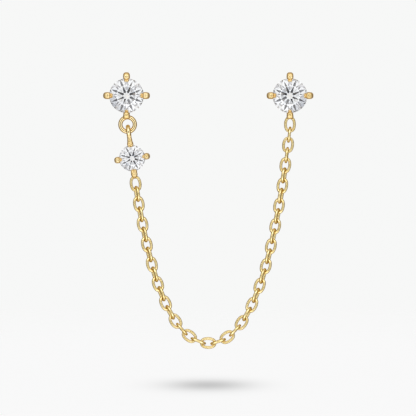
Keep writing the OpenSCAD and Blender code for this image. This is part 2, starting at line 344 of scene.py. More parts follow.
class Wiring:
    """Adds nodes to a tree and wires them up."""

    def __init__(self, tree: bpy.types.NodeTree) -> None:
        """Takes the node tree of a material, a group or the world."""
        self.tree = tree

    def add(self, kind: str, inputs: dict[str | int, object], **settings: object) -> bpy.types.Node:
        """Adds a node.

        Args:
            kind: Blender's name for the type of node, without its Shader part.
            inputs: Values of its sockets, or the output sockets that feed them.
            **settings: Values of the node's own settings.

        Returns:
            The node.
        """
        node = self.tree.nodes.new(kind if kind.startswith("Node") else "ShaderNode" + kind)
        for key, value in settings.items():
            setattr(node, key, value)
        self.feed(node, inputs)
        return node

    def feed(self, node: bpy.types.Node, inputs: dict[str | int, object]) -> None:
        """Feeds the inputs of a node.

        Args:
            node: The node.
            inputs: Values of its sockets, or the output sockets that feed them.
        """
        for key, value in inputs.items():
            if isinstance(value, Socket):
                self.tree.links.new(value, node.inputs[key])
            else:
                node.inputs[key].default_value = value

    def noise(self, scale: float | Socket, detail: float,
              vector: Socket) -> Socket:
        """Adds a noise texture.

        Args:
            scale: Its scale, or the socket that gives it.
            detail: Number of its octaves.
            vector: The coordinates that it reads.

        Returns:
            Its value.
        """
        return self.add("TexNoise", {"Scale": scale, "Detail": detail, "Vector": vector}).outputs[0]

    def mix(self, share: Socket, first: object, second: object) -> Socket:
        """Mixes two colours.

        Args:
            share: Share of the second colour.
            first: The first colour, or the socket that gives it.
            second: The second colour, or the socket that gives it.

        Returns:
            The mixed colour.
        """
        return self.add("Mix", {0: share, 6: first, 7: second}, data_type="RGBA").outputs[2]

    def ranged(self, value: Socket, low: float, high: float,
               to_low: object = 0.0, to_high: object = 1.0) -> Socket:
        """Maps a value from one range to another, held at the ends.

        Args:
            value: The value to map.
            low: Start of its range.
            high: End of its range.
            to_low: What the start becomes.
            to_high: What the end becomes.

        Returns:
            The mapped value.
        """
        return self.add("MapRange", {0: value, 1: low, 2: high, 3: to_low, 4: to_high}).outputs[0]

    def maths(self, operation: str, *values: object) -> Socket:
        """Adds a math node.

        Args:
            operation: What it works out.
            *values: Its numbers, or the sockets that feed them.

        Returns:
            Its result.
        """
        return self.add("Math", dict(enumerate(values)), operation=operation).outputs[0]

    def vector(self, operation: str, *values: object) -> Socket:
        """Adds a vector math node.

        Args:
            operation: What it works out.
            *values: Its vectors, or the sockets that feed them.

        Returns:
            Its number for a length or a dot product, else its vector.
        """
        node = self.add("VectorMath", dict(enumerate(values)), operation=operation)
        return node.outputs["Value" if operation in ("LENGTH", "DOT_PRODUCT") else "Vector"]


class SurfaceGroup:
    """Base of the node groups that give colour, roughness and relief over a surface."""

    name: str = ""
    inputs: dict[str, str] = {}
    outputs: dict[str, str] = {}

    def tree(self) -> bpy.types.NodeTree:
        """Builds the group at its first use, and returns its tree."""
        made = bpy.data.node_groups.get(self.name)
        if made:
            return made
        made = bpy.data.node_groups.new(self.name, "ShaderNodeTree")
        for way, sockets in (("INPUT", self.inputs), ("OUTPUT", self.outputs)):
            for socket, kind in sockets.items():
                made.interface.new_socket(name=socket, in_out=way, socket_type="NodeSocket" + kind)
        wiring = Wiring(made)
        given = wiring.add("NodeGroupInput", {})
        wiring.add("NodeGroupOutput", self.wire(wiring, given.outputs))
        return made

    def add_to(self, wiring: Wiring, **values: object) -> Sockets:
        """Adds the group to a tree.

        Args:
            wiring: Wiring of the tree.
            **values: Values with the names of the inputs, such as tone_scale for Tone Scale.

        Returns:
            The outputs of the group's node.
        """
        inputs = {name: values[name.lower().replace(" ", "_")] for name in self.inputs}
        return wiring.add("Group", inputs, node_tree=self.tree()).outputs

    def wire(self, wiring: Wiring, given: Sockets) -> dict[str, Socket]:
        """Wires the group's own nodes.

        Args:
            wiring: Wiring of the group's tree.
            given: The group's inputs.

        Returns:
            The socket that feeds each output.
        """
        raise NotImplementedError


class FineMarks(SurfaceGroup):
    """Hair lines of polishing and small specks, as masks from 0 to 1."""

    name = "fine_marks"
    inputs = {"Scale": "Float", "Stretch": "Float"}
    outputs = {"Lines": "Float", "Specks": "Float"}
    line_turns = ((0.3, 0.5, 0.9), (1.2, -0.4, 2.3))
    line_band = (0.62, 0.72)
    speck_band = (0.64, 0.74)

    def wire(self, wiring: Wiring, given: Sockets) -> dict[str, Socket]:
        """Wires two crossed sets of stretched noise, and a fine spotted one."""
        place_at = wiring.add("TexCoord", {}).outputs["Object"]
        lines = []
        for turn in self.line_turns:
            turned_at = wiring.add("Mapping", {"Vector": place_at, "Rotation": turn}).outputs[0]
            long_way = wiring.add("CombineXYZ", {0: given["Stretch"], 1: 1.0, 2: 1.0}).outputs[0]
            noise = wiring.noise(given["Scale"], 1.0, wiring.vector("MULTIPLY", turned_at, long_way))
            lines.append(wiring.ranged(noise, *self.line_band))
        specks = wiring.ranged(wiring.noise(given["Scale"], 2.0, place_at), *self.speck_band)
        return {"Lines": wiring.maths("MAXIMUM", *lines), "Specks": specks}


class GoldSurface(SurfaceGroup):
    """Colour, roughness and relief of polished gold that was cast or drawn, then worn a little, with shade
    painted into its hollows.
    """

    name = "gold_surface"
    inputs = {
        "Pale": "Color", "Deep": "Color", "Crevice": "Color", "Tone Scale": "Float",
        "Smoothest": "Float", "Roughest": "Float", "Crevice Share": "Float", "Mark Scale": "Float",
    }
    outputs = {"Color": "Color", "Roughness": "Float", "Height": "Float"}
    mark_stretch = 0.06
    tone_band = (0.35, 0.65)
    hollow_band = (0.5, 0.43)
    cloud_band = (0.3, 0.7)
    line_wear = 0.5
    hollow_wear = 0.6
    most_wear = 1.5
    mark_depths = {"Specks": -0.05, "Lines": -0.04}

    def wire(self, wiring: Wiring, given: Sockets) -> dict[str, Socket]:
        """Wires the tone, the shade painted into the hollows, the polishing marks and the soft hammered
        relief.
        """
        place_at, scale = wiring.add("TexCoord", {}).outputs["Object"], given["Tone Scale"]
        tone = wiring.ranged(wiring.noise(scale, 3.0, place_at), *self.tone_band)
        base = wiring.mix(tone, given["Pale"], given["Deep"])
        # Painted shade: pointiness picks out the hollows, which get the darker hollow colour and a rougher
        # polish.
        hollow = wiring.ranged(wiring.add("NewGeometry", {}).outputs["Pointiness"], *self.hollow_band)
        hollow = wiring.maths("MULTIPLY", hollow, given["Crevice Share"])
        marks = FineMarks().add_to(wiring, scale=given["Mark Scale"], stretch=self.mark_stretch)
        cloud = wiring.ranged(wiring.noise(scale, 2.0, place_at), *self.cloud_band)
        worn = wiring.maths("MULTIPLY_ADD", marks["Lines"], self.line_wear, cloud)
        worn = wiring.maths("MULTIPLY_ADD", hollow, self.hollow_wear, worn)
        rough = wiring.ranged(worn, 0.0, self.most_wear, given["Smoothest"], given["Roughest"])
        height = wiring.noise(scale, 1.0, place_at)
        for kind, depth in self.mark_depths.items():
            height = wiring.maths("MULTIPLY_ADD", marks[kind], depth, height)
        return {"Color": wiring.mix(hollow, base, given["Crevice"]), "Roughness": rough, "Height": height}


class FacetSurface(SurfaceGroup):
    """Tint and polish of a cut stone, which differ a little from facet to facet, with shade painted on the
    facets of its dim side.
    """

    name = "facet_surface"
    inputs = {"Clear": "Color", "Cool": "Color", "Warm": "Color", "Smoothest": "Float", "Roughest": "Float"}
    outputs = {"Color": "Color", "Roughness": "Float"}
    mark_scale = 30000.0
    mark_stretch = 0.05
    cloud_scale = 900.0
    cloud_band = (0.3, 0.7)
    cloud_share = 0.25

    def wire(self, wiring: Wiring, given: Sockets) -> dict[str, Socket]:
        """Wires the facets' own tint with their painted shade, a faint cloud inside it and the polish."""
        place_at = wiring.add("TexCoord", {}).outputs["Object"]
        # The facet attribute holds each facet's own tint and the shade painted on the dim side, which pulls
        # it to the dark colour.
        tint = wiring.add("Attribute", {}, attribute_name=FACET_TINT_AND_SHADE).outputs["Fac"]
        tinted = wiring.mix(wiring.ranged(tint, 0.5, 1.0), given["Clear"], given["Cool"])
        tinted = wiring.mix(wiring.ranged(tint, 0.5, 0.0), tinted, given["Warm"])
        specks = FineMarks().add_to(wiring, scale=self.mark_scale, stretch=self.mark_stretch)["Specks"]
        rough = wiring.ranged(specks, 0.0, 1.0, given["Smoothest"], given["Roughest"])
        cloud = wiring.noise(self.cloud_scale, 2.0, place_at)
        cloud = wiring.ranged(cloud, *self.cloud_band, 0.0, self.cloud_share)
        return {"Color": wiring.mix(cloud, tinted, given["Clear"]), "Roughness": rough}


def new_material(name: str) -> tuple[Material, Wiring, bpy.types.Node]:
    """Makes a material.

    Args:
        name: Its name.

    Returns:
        The material, the wiring of its tree and its Principled shader.
    """
    material = bpy.data.materials.new(name)
    material.use_nodes = True
    return material, Wiring(material.node_tree), material.node_tree.nodes["Principled BSDF"]


@dataclass(frozen=True)
class GoldFinish:
    """A polished yellow gold.

    Attributes:
        name: Name of the material.
        pale: Colour where it is palest.
        deep: Colour where it is deepest.
        crevice: Colour of the shade painted into the hollows between soldered parts.
        crevice_share: How much of that painted shade the hollows take.
        tone_scale: Scale of the changes of tone and of the soft relief, per metre.
        mark_scale: Scale of the polishing marks, per metre.
        smoothest: Lowest roughness.
        roughest: Highest roughness.
        relief: Height of the relief in metres.
        rim: Tint of the reflections that graze its edges.
    """

    name: str
    pale: Colour = (0.90, 0.74, 0.44, 1)
    deep: Colour = (0.79, 0.60, 0.28, 1)
    # Colour of the shade painted into the hollows, and how much of it they take.
    crevice: Colour = (0.38, 0.22, 0.06, 1)
    crevice_share: float = 0.5
    tone_scale: float = 1500
    mark_scale: float = 26000
    smoothest: float = 0.06
    roughest: float = 0.2
    relief: float = 0.00002
    rim: Colour = (0.85, 0.58, 0.3, 1)

    def build(self) -> Material:
        """Builds the material and returns it."""
        material, wiring, shader = new_material(self.name)
        surface = GoldSurface().add_to(wiring, **vars(self))
        bump = wiring.add("Bump", {"Height": surface["Height"], "Distance": self.relief, "Strength": 1.0})
        wiring.feed(shader, {
            "Metallic": 1.0, "Specular Tint": self.rim, "Base Color": surface["Color"],
            "Roughness": surface["Roughness"], "Normal": bump.outputs["Normal"],
        })
        return material


# Only the claws' gold keeps shade painted into its hollows; the other golds have none.
CLAW_GOLD = GoldFinish("claw_gold", smoothest=0.4, roughest=0.5)
WIRE_GOLD = GoldFinish(
    "wire_gold", pale=(0.90, 0.75, 0.46, 1), deep=(0.84, 0.68, 0.38, 1), crevice_share=0,
    smoothest=0.02, roughest=0.06, relief=0.000005, rim=(0.8, 0.6, 0.3, 1))
CHAIN_GOLD = GoldFinish(
    "chain_gold", pale=(0.90, 0.765, 0.43, 1), deep=(0.80, 0.64, 0.29, 1), crevice_share=0,
    tone_scale=2400, smoothest=0.17, roughest=0.27, relief=0.000003, rim=(0.8, 0.58, 0.27, 1))


@dataclass(frozen=True)
class StoneFinish:
    """A clear brilliant-cut stone.

    Attributes:
        name: Name of the material.
        clear: Its colour.
        cool: Dark colour of the shade painted on the facets of the dim side.
        warm: Tint of its warmest facets.
        smoothest: Lowest roughness.
        roughest: Highest roughness.
        ior: Index of refraction.
    """

    name: str
    clear: Colour = (0.995, 0.998, 1.0, 1)
    # Dark colour of the shade painted on the facets of the dim side.
    cool: Colour = (0.16, 0.19, 0.25, 1)
    warm: Colour = (0.985, 0.995, 0.97, 1)
    smoothest: float = 0.0
    roughest: float = 0.02
    ior: float = 2.2

    def build(self) -> Material:
        """Builds the material and returns it."""
        material, wiring, shader = new_material(self.name)
        surface = FacetSurface().add_to(wiring, **vars(self))
        wiring.feed(shader, {
            "IOR": self.ior, "Transmission Weight": 1.0,
            "Base Color": surface["Color"], "Roughness": surface["Roughness"],
        })
        return material


CLEAR_STONE = StoneFinish("clear_stone")
FROSTED_GIRDLE = StoneFinish("frosted_girdle", smoothest=0.3, roughest=0.5)


@dataclass(frozen=True)
class FloorFinish:
    """A pale studio floor that fades out before its horizon, with one soft shadow painted into its colour
    below the drop.

    Attributes:
        glow: Colour that it gives off by itself.
        paper: Colour that it scatters.
        fade_from: Distance at which it starts to fade, in metres.
        fade_to: Distance at which it has gone, in metres.
        shade_at: Middle of the soft painted shadow, in metres.
        shade_size: Its reach along X and Y, in metres.
        shade_depth: How dark it is in the middle.
        grain_scale: Scale of the paper's grain, per metre.
        grain_band: Least and most light of the grain.
    """

    glow: Colour = (0.846, 0.855, 0.869, 1)
    paper: Colour = (0.14, 0.14, 0.14, 1)
    fade_from: float = 0.15
    fade_to: float = 0.4
    shade_at: tuple[float, float, float] = (0.00942, -0.0065, 0)
    shade_size: tuple[float, float, float] = (0.00485, 0.0170, 1)
    shade_depth: float = 0.39
    grain_scale: float = 900.0
    grain_band: tuple[float, float] = (0.996, 1.004)

    def build(self) -> Material:
        """Builds the material and returns it."""
        material, wiring, shader = new_material("studio_floor")
        place_at, black = wiring.add("TexCoord", {}).outputs["Object"], (0, 0, 0, 1)
        # Painted shadow: a soft bell round shade_at darkens the floor's glow and colour.
        aside = wiring.vector("SUBTRACT", wiring.vector("MULTIPLY", place_at, (1, 1, 0)), self.shade_at)
        scaled = wiring.vector("DIVIDE", aside, self.shade_size)
        square = wiring.vector("DOT_PRODUCT", scaled, scaled)
        bell = wiring.maths("EXPONENT", wiring.maths("MULTIPLY", square, -1.0))
        grain = wiring.ranged(wiring.noise(self.grain_scale, 3.0, place_at), 0.0, 1.0, *self.grain_band)
        light = wiring.maths("MULTIPLY", wiring.ranged(bell, 0.0, 1.0, 1.0, 1 - self.shade_depth), grain)
        far = wiring.vector("LENGTH", aside)
        wiring.feed(shader, {
            "Emission Color": wiring.mix(light, black, self.glow),
            "Base Color": wiring.mix(light, black, self.paper),
            "Emission Strength": 1.0, "Specular IOR Level": 0.0, "Roughness": 1.0,
            "Alpha": wiring.ranged(far, self.fade_from, self.fade_to, 1.0, 0.0),
        })
        return material


@dataclass(frozen=True)
class Brilliant:
    """A round brilliant-cut stone.

    Attributes:
        diameter: Diameter of the girdle.
        table_share: Width of the table as a share of the diameter.
        crown_angle: Slope of the main facets above the girdle, in degrees.
        pavilion_angle: Slope of the main facets below the girdle, in degrees.
        girdle_share: Thickness of the girdle as a share of the diameter.
        star_share: How far the star facets reach from the table to the girdle.
        lower_share: How far the lower facets reach from the girdle to the culet.
        sides: Number of sides of the round girdle.
        seat_steps: Number of sides of the space that the stone takes in its setting.
        error: Largest slip of a facet's slope, in degrees.
        dim_side: Direction of the facets that get painted shade, in degrees about Z.
        slip_seed: Seed of the slips of the facets.
        tint_seed: Seed of their tints.
    """

    diameter: float
    table_share: float = 0.56
    crown_angle: float = 34.5
    pavilion_angle: float = 40.75
    girdle_share: float = 0.03
    star_share: float = 0.5
    lower_share: float = 0.77
    sides: int = 96
    seat_steps: int = 128
    error: float = 0.2
    dim_side: float = 232
    slip_seed: int = 7
    tint_seed: int = 11

    def half_girdle(self) -> float:
        """Half of the thickness of the girdle."""
        return self.diameter * self.girdle_share / 2

    def depth(self) -> float:
        """Depth of the stone below the middle of its girdle."""
        return self.half_girdle() + self.diameter / 2 * math.tan(math.radians(self.pavilion_angle))

    def star_at(self) -> float:
        """Place of the points between the main facets of the crown, as a share of the radius."""
        return self.table_share * math.cos(HALF_STEP) * (1 - self.star_share) + self.star_share

    def lower_at(self) -> float:
        """Place of the points between the main facets of the pavilion, as a share of the radius."""
        return 1 - self.lower_share

    @staticmethod
    def edge_slope(inner_at: float, angle: float) -> float:
        """Works out the steepest slope beside the girdle.

        Args:
            inner_at: Place of the points between the main facets, as a share of the radius.
            angle: Slope of the main facets in degrees.

        Returns:
            The slope in radians.
        """
        rise = (1 - inner_at * math.cos(HALF_STEP)) * math.tan(math.radians(angle))
        return math.atan(rise / (1 - inner_at))

    def corner(self, share: float, steps: int, slope: float, main_share: float) -> Vector:
        """Works out a corner of a facet.

        Args:
            share: Its distance from the axis as a share of the radius.
            steps: Its direction in steps of 22.5 degrees.
            slope: Slope of the main facets on its side in degrees, negative below the girdle.
            main_share: Distance at which the main facets have its height, as a share of the radius.

        Returns:
            The corner.
        """
        radius = self.diameter / 2
        rise = radius * (1 - main_share) * math.tan(math.radians(slope))
        height = math.copysign(self.half_girdle(), slope) + rise
        angle = (steps + 1) * HALF_STEP
        return Vector((radius * share * math.cos(angle), radius * share * math.sin(angle), height))

    def facets(self) -> list[tuple[Vector, Vector]]:
        """Works out the plane of every facet.

        Returns:
            A point and an outward normal for each facet.
        """
        up, down, share = self.crown_angle, -self.pavilion_angle, self.table_share
        star_at, lower_at, inward = self.star_at(), self.lower_at(), math.cos(HALF_STEP)
        table = [self.corner(share, 2 * k, up, share) for k in range(9)]
        star = {k: self.corner(star_at, 2 * k + 1, up, star_at * inward) for k in range(-1, 8)}
        lower = {k: self.corner(lower_at, 2 * k + 1, down, lower_at * inward) for k in range(-1, 8)}
        upper = [self.corner(1, k, up, 1) for k in range(17)]
        under = [self.corner(1, k, down, 1) for k in range(17)]
        culet = self.corner(0, 0, down, 0)
        corners = [(table[0], table[3], table[6])]
        for k in range(8):
            corners += [
                (culet, lower[k - 1], lower[k]),
                (lower[k], under[2 * k], under[2 * k + 1]),
                (lower[k], under[2 * k + 1], under[2 * k + 2]),
                (upper[2 * k], star[k - 1], star[k]),
                (table[k], table[k + 1], star[k]),
                (star[k], upper[2 * k], upper[2 * k + 1]),
                (star[k], upper[2 * k + 1], upper[2 * k + 2]),
            ]
        slips = random.Random(self.slip_seed)
        planes = []
        for number, (a, b, c) in enumerate(corners):
            middle = (a + b + c) / 3
            normal = (b - a).cross(c - a).normalized()
            normal = normal if normal.dot(middle) > 0 else -normal
            slip = Vector([slips.uniform(-1, 1) for _ in range(3)]) * math.radians(self.error)
            planes.append((middle, (normal + slip).normalized() if number else normal))
        return planes

    def build(self, name: str) -> Piece:
        """Cuts the stone from a round blank, facet by facet.

        Args:
            name: Name of the piece.

        Returns:
            The stone, with a frosted girdle as its second material, and a tint for each facet that also
            holds the painted shade of the dim side.
        """
        deselect_all()
        bpy.ops.mesh.primitive_cylinder_add(
            vertices=self.sides, radius=self.diameter / 2, depth=2 * self.diameter)
        stone = place(name_active(name), Matrix.Identity(4))
        edit_all(stone)
        for point, normal in self.facets():
            bpy.ops.mesh.select_all(action="SELECT")
            bpy.ops.mesh.bisect(plane_co=point, plane_no=normal, use_fill=True, clear_outer=True)
        bpy.ops.object.mode_set(mode="OBJECT")
        self.tint(close_seams(stone))
        return stone

    def tint(self, stone: Piece) -> None:
        """Frosts the girdle, gives each facet a tint at random, and paints shade on the facets towards the
        dim side.

        Args:
            stone: The cut stone.
        """
        steepest, table_zone, dim_from, dim_gain = 0.2, 0.4, 0.72, 4
        dim_band, tint_band = (0.45, 1), (0, 0.55)
        draws = random.Random(self.tint_seed)
        tint = stone.data.attributes.new(FACET_TINT_AND_SHADE, "FLOAT", "FACE")
        dim = Matrix.Rotation(math.radians(self.dim_side), 3, "Z") @ Vector((1, 0, 0))
        for polygon in stone.data.polygons:
            polygon.material_index = 1 if abs(polygon.normal.z) < steepest else 0
            out = polygon.center.xy.length / self.diameter * 2
            # Painted shade: facets towards the dim side are pushed towards the dark shade colour.
            near = polygon.center.xy.normalized().dot(dim.xy) if out > table_zone else 0
            dimmed = max(0, near - dim_from) * dim_gain * draws.uniform(*dim_band)
            tint.data[polygon.index].value = min(1, draws.uniform(*tint_band) + dimmed)

    def seat(self, gap: float) -> Piece:
        """Models the round space that the stone takes in its setting.

        Args:
            gap: Clearance between a claw and the stone.

        Returns:
            A solid that is wider than the stone by the gap.
        """
        radius, girdle = self.diameter / 2, self.half_girdle()
        up = self.edge_slope(self.star_at(), self.crown_angle)
        down = self.edge_slope(self.lower_at(), self.pavilion_angle)
        top = self.corner(self.table_share, 0, self.crown_angle, self.table_share).z + gap
        crown_r = radius + gap / math.sin(up)
        return turned("seat", [
            (0, -girdle - (radius + gap / math.sin(down)) * math.tan(down)),
            (radius + gap, -girdle - gap * (1 - math.sin(down)) / math.cos(down)),
            (radius + gap, girdle + gap * (1 - math.sin(up)) / math.cos(up)),
            (crown_r - (top - girdle) / math.tan(up), top),
            (0, top),
        ], self.seat_steps)


@dataclass(frozen=True)
class Head:
    """Head of a claw on the +X side.

    Attributes:
        rows: Distance from the axis, half width, top and bottom of each section along X.
        lobes: Whether it ends over the stone in two small lobes side by side.
        lobe_at: Middle of the lobe on the +Y side.
        lobe_size: Half sizes of a lobe.
        lobe_turn: Turn of that lobe towards the other, in degrees.
        lobe_rings: Number of rings that a lobe is modelled with.
    """

    rows: Rows
    lobes: bool = False
    lobe_at: tuple[float, float, float] = (1.50, 0.165, 0.35)
    lobe_size: tuple[float, float, float] = (0.23, 0.17, 0.19)
    lobe_turn: float = 12
    lobe_rings: int = 20

    def build(self) -> Piece:
        """Models the head.

        Returns:
            The head, before it is cut to the stone.
        """
        parts = [loft("head_body", self.rows)]
        for side in (1, -1) if self.lobes else ():
            deselect_all()
            bpy.ops.mesh.primitive_uv_sphere_add(segments=WIRE_SIDES, ring_count=self.lobe_rings, radius=1)
            x, y, z = self.lobe_at
            turn = Matrix.Rotation(math.radians(self.lobe_turn * side), 4, "Z")
            middle = Matrix.Translation((x, y * side, z))
            parts.append(place(name_active("lobe"), middle @ turn @ Matrix.Diagonal((*self.lobe_size, 1))))
        return join(parts, "head")


STUD_CLAW = Head((
    (1.575, 0.09, 0.48, 0.36), (1.59, 0.17, 0.52, 0.30), (1.62, 0.24, 0.555, 0.24),
    (1.66, 0.28, 0.58, 0.17), (1.71, 0.295, 0.575, 0.09), (1.76, 0.285, 0.53, 0.02),
    (1.80, 0.265, 0.46, -0.02), (1.83, 0.25, 0.40, -0.06), (1.86, 0.262, 0.40, -0.08),
    (1.89, 0.31, 0.49, -0.09), (1.92, 0.345, 0.57, -0.10), (2.00, 0.385, 0.64, -0.14),
    (2.10, 0.395, 0.665, -0.18), (2.22, 0.395, 0.66, -0.20), (2.35, 0.39, 0.63, -0.20),
    (2.47, 0.37, 0.575, -0.19), (2.56, 0.33, 0.505, -0.16), (2.63, 0.27, 0.42, -0.09),
    (2.68, 0.19, 0.32, -0.02), (2.70, 0.09, 0.24, 0.06),
))
STUD_LOWER_CLAW = Head((
    (1.64, 0.07, 0.47, 0.34), (1.655, 0.15, 0.52, 0.26), (1.69, 0.205, 0.555, 0.18),
    (1.74, 0.225, 0.56, 0.10), (1.79, 0.22, 0.50, 0.03), (1.83, 0.205, 0.41, -0.02),
    (1.86, 0.21, 0.38, -0.05), (1.89, 0.235, 0.44, -0.08), (1.93, 0.27, 0.54, -0.10),
    (2.00, 0.31, 0.60, -0.14), (2.08, 0.345, 0.635, -0.17), (2.20, 0.375, 0.65, -0.20),
    (2.35, 0.395, 0.63, -0.22), (2.48, 0.40, 0.59, -0.22), (2.58, 0.395, 0.54, -0.22),
    (2.64, 0.385, 0.49, -0.20), (2.68, 0.35, 0.43, -0.12), (2.70, 0.27, 0.36, 0.0),
))
DROP_CLAW = Head((
    (1.18, 0.06, 0.40, 0.33), (1.195, 0.13, 0.43, 0.28), (1.22, 0.18, 0.455, 0.21),
    (1.26, 0.195, 0.44, 0.13), (1.30, 0.175, 0.36, 0.04), (1.33, 0.18, 0.31, -0.02),
    (1.36, 0.22, 0.34, -0.06), (1.42, 0.30, 0.46, -0.13), (1.54, 0.36, 0.52, -0.20),
    (1.68, 0.375, 0.53, -0.24), (1.82, 0.36, 0.49, -0.22), (1.93, 0.315, 0.42, -0.17),
    (2.01, 0.25, 0.33, -0.09), (2.06, 0.16, 0.24, 0.0), (2.08, 0.07, 0.17, 0.06),
))
DROP_UPPER_CLAW = Head((
    (1.28, 0.06, 0.32, 0.24), (1.31, 0.13, 0.33, 0.17), (1.36, 0.18, 0.34, 0.08),
    (1.44, 0.23, 0.35, -0.04), (1.56, 0.27, 0.36, -0.12), (1.66, 0.30, 0.40, -0.18),
    (1.74, 0.32, 0.47, -0.21), (1.84, 0.32, 0.525, -0.24), (1.98, 0.30, 0.53, -0.27),
    (2.14, 0.28, 0.515, -0.29), (2.30, 0.265, 0.50, -0.30), (2.46, 0.255, 0.475, -0.30),
    (2.62, 0.24, 0.435, -0.28), (2.74, 0.20, 0.38, -0.22), (2.82, 0.12, 0.30, -0.12),
), lobes=True)
DROP_LOWER_CLAW = Head((
    (1.28, 0.06, 0.32, 0.24), (1.31, 0.13, 0.33, 0.17), (1.36, 0.18, 0.34, 0.08),
    (1.44, 0.23, 0.35, -0.04), (1.54, 0.28, 0.36, -0.12), (1.64, 0.33, 0.40, -0.18),
    (1.72, 0.36, 0.46, -0.22), (1.82, 0.375, 0.52, -0.25), (1.94, 0.375, 0.51, -0.27),
    (2.06, 0.34, 0.46, -0.28), (2.17, 0.29, 0.39, -0.28), (2.26, 0.235, 0.30, -0.28),
    (2.33, 0.18, 0.20, -0.26), (2.38, 0.10, 0.10, -0.22),
), lobes=True)
STUD_HEADS = {arm: STUD_CLAW for arm in Arm} | {Arm.BOTTOM: STUD_LOWER_CLAW}
DROP_HEADS = {arm: DROP_CLAW for arm in Arm} | {Arm.TOP: DROP_UPPER_CLAW, Arm.BOTTOM: DROP_LOWER_CLAW}


@dataclass(frozen=True)
class Neck:
    """A neck of solder from a claw to a wire.

    Attributes:
        arm: The claw that it starts from.
        end: Its end, from the middle of the girdle.
        wire: Thickness of the wire that it runs to.
    """

    arm: Arm
    end: Vector
    wire: float


@dataclass(frozen=True)
class Basket:
    """Four claws and a gallery rail round a stone.

    Attributes:
        stone: The stone.
        claw_d: Thickness of a claw.
        claw_out: How far a claw stands out past the edge of the stone.
        claw_lift: Height of a claw's shoulder above the girdle.
        root_r: Radius of the circle that the claws stand on.
        plate_d: Diameter of the back plate.
        heads: The claws' heads.
        plate_t: Thickness of the back plate.
        plate_bevel: Bevel round the back plate.
        culet_gap: Clearance between the point of the stone and the back plate.
        rail_t: Thickness and height of the gallery rail.
        rail_tuck: How far the rail stays inside the edge of the stone.
        rail_gap: Clearance between the rail and the stone.
        rail_bevel: Bevel along the rail.
        seat_gap: Clearance between a claw and the stone.
        shank_taper: How much thinner a claw's radius is at its shoulder than at its root.
        neck_share: Radius of a neck as a share of the thickness of what it joins.
        grain: Size of the squares that the fused metal is remeshed with.
        soft_steps: How often the fused metal is smoothed.
        necks: The necks of solder.
    """

    stone: Brilliant
    claw_d: float
    claw_out: float
    claw_lift: float
    root_r: float
    plate_d: float
    heads: dict[Arm, Head]
    plate_t: float = 0.5
    plate_bevel: float = 0.1
    culet_gap: float = 0.1
    rail_t: float = 0.4
    rail_tuck: float = 0.05
    rail_gap: float = 0.14
    rail_bevel: float = 0.08
    seat_gap: float = 0.04
    shank_taper: float = 0.02
    neck_share: float = 0.45
    grain: float = 0.03
    soft_steps: int = 4
    necks: tuple[Neck, ...] = ()

    def girdle_height(self) -> float:
        """Height of the middle of the girdle above the back of the plate."""
        return self.plate_t + self.culet_gap + self.stone.depth()

    def shoulder(self) -> Vector:
        """Middle of the shoulder of the claw on the +X side."""
        return Vector((self.stone.diameter / 2 + self.claw_out - self.claw_d / 2, 0, self.claw_lift))

    def claw(self, head: Head) -> Piece:
        """Models one claw on the +X side, cut to the stone.

        Args:
            head: Its head.

        Returns:
            The claw.
        """
        root = Vector((self.root_r, 0, (self.claw_d + self.plate_bevel) / 2 - self.girdle_height()))
        shank = rod("shank", root, self.shoulder(), self.claw_d / 2, self.claw_d / 2 - self.shank_taper)
        claw = join([head.build(), shank], "claw")
        seat = self.stone.seat(self.seat_gap)
        apply_modifier(claw, "BOOLEAN", operation="DIFFERENCE", object=seat, solver="EXACT", use_self=True)
        remove(seat)
        return claw

    def claws(self) -> list[Piece]:
        """Models each form of claw once and stands its copies round the stone.

        Returns:
            The claws in their places.
        """
        stood, patterns = [], {}
        for arm, head in self.heads.items():
            if id(head) not in patterns:
                patterns[id(head)] = self.claw(head)
            claw = copy_of(patterns[id(head)], "claw_" + arm.name.lower())
            stood.append(place(claw, Matrix.Rotation(math.radians(arm.value), 4, "Z")))
        remove(*patterns.values())
        return stood

    def rail(self) -> Piece:
        """Models the gallery rail, a bevelled ring just below the stone."""
        outer = self.stone.diameter / 2 - self.rail_tuck
        slope = math.radians(self.stone.pavilion_angle)
        top = -self.stone.half_girdle() - (self.rail_tuck + self.rail_t) * math.tan(slope)
        top -= self.rail_gap / math.cos(slope)
        inner, bottom, cut = outer - self.rail_t, top - self.rail_t, self.rail_bevel
        return turned("rail", [
            (inner, top - cut), (inner + cut, top), (outer - cut, top), (outer, top - cut),
            (outer, bottom + cut), (outer - cut, bottom), (inner + cut, bottom), (inner, bottom + cut),
            (inner, top - cut),
        ])

    def neck(self, neck: Neck) -> Piece:
        """Models a neck of solder.

        Args:
            neck: Where it runs.

        Returns:
            The neck in its place.
        """
        start = Matrix.Rotation(math.radians(neck.arm.value), 4, "Z") @ self.shoulder()
        return rod("neck", start, neck.end, self.claw_d * self.neck_share, neck.wire * self.neck_share)

    def build(self, name: str) -> Piece:
        """Models the basket as one piece of fused metal with soft fillets.

        Args:
            name: Name of the piece.

        Returns:
            The basket.
        """
        necks = [self.neck(neck) for neck in self.necks]
        basket = join([*self.claws(), *necks, self.rail()], name)
        apply_modifier(basket, "REMESH", mode="VOXEL", voxel_size=self.grain)
        apply_modifier(basket, "SMOOTH", factor=0.5, iterations=self.soft_steps)
        return basket

    def plate(self, name: str, post: Profile) -> Piece:
        """Models the back plate, and the post below it if there is one.

        Args:
            name: Name of the piece.
            post: Profile of the post from its tip to its fillet, as radius and height.

        Returns:
            The plate, with its back on the XY plane.
        """
        edge, cut, thick = self.plate_d / 2, self.plate_bevel, self.plate_t
        round_in = cut * 0.3
        return turned(name, [
            *(post or [(0, 0)]),
            (edge - cut, 0), (edge - round_in, round_in), (edge, cut), (edge, thick - cut),
            (edge - round_in, thick - round_in), (edge - cut, thick), (0, thick),
        ])


STUD_BASKET = Basket(stone=Brilliant(4), claw_d=0.78, claw_out=0.7, claw_lift=0.15,
                     root_r=1.45, plate_d=3.4, heads=STUD_HEADS)
DROP_BASKET = Basket(stone=Brilliant(3), claw_d=0.76, claw_out=0.58, claw_lift=0.12,
                     root_r=1, plate_d=2.4, heads=DROP_HEADS)


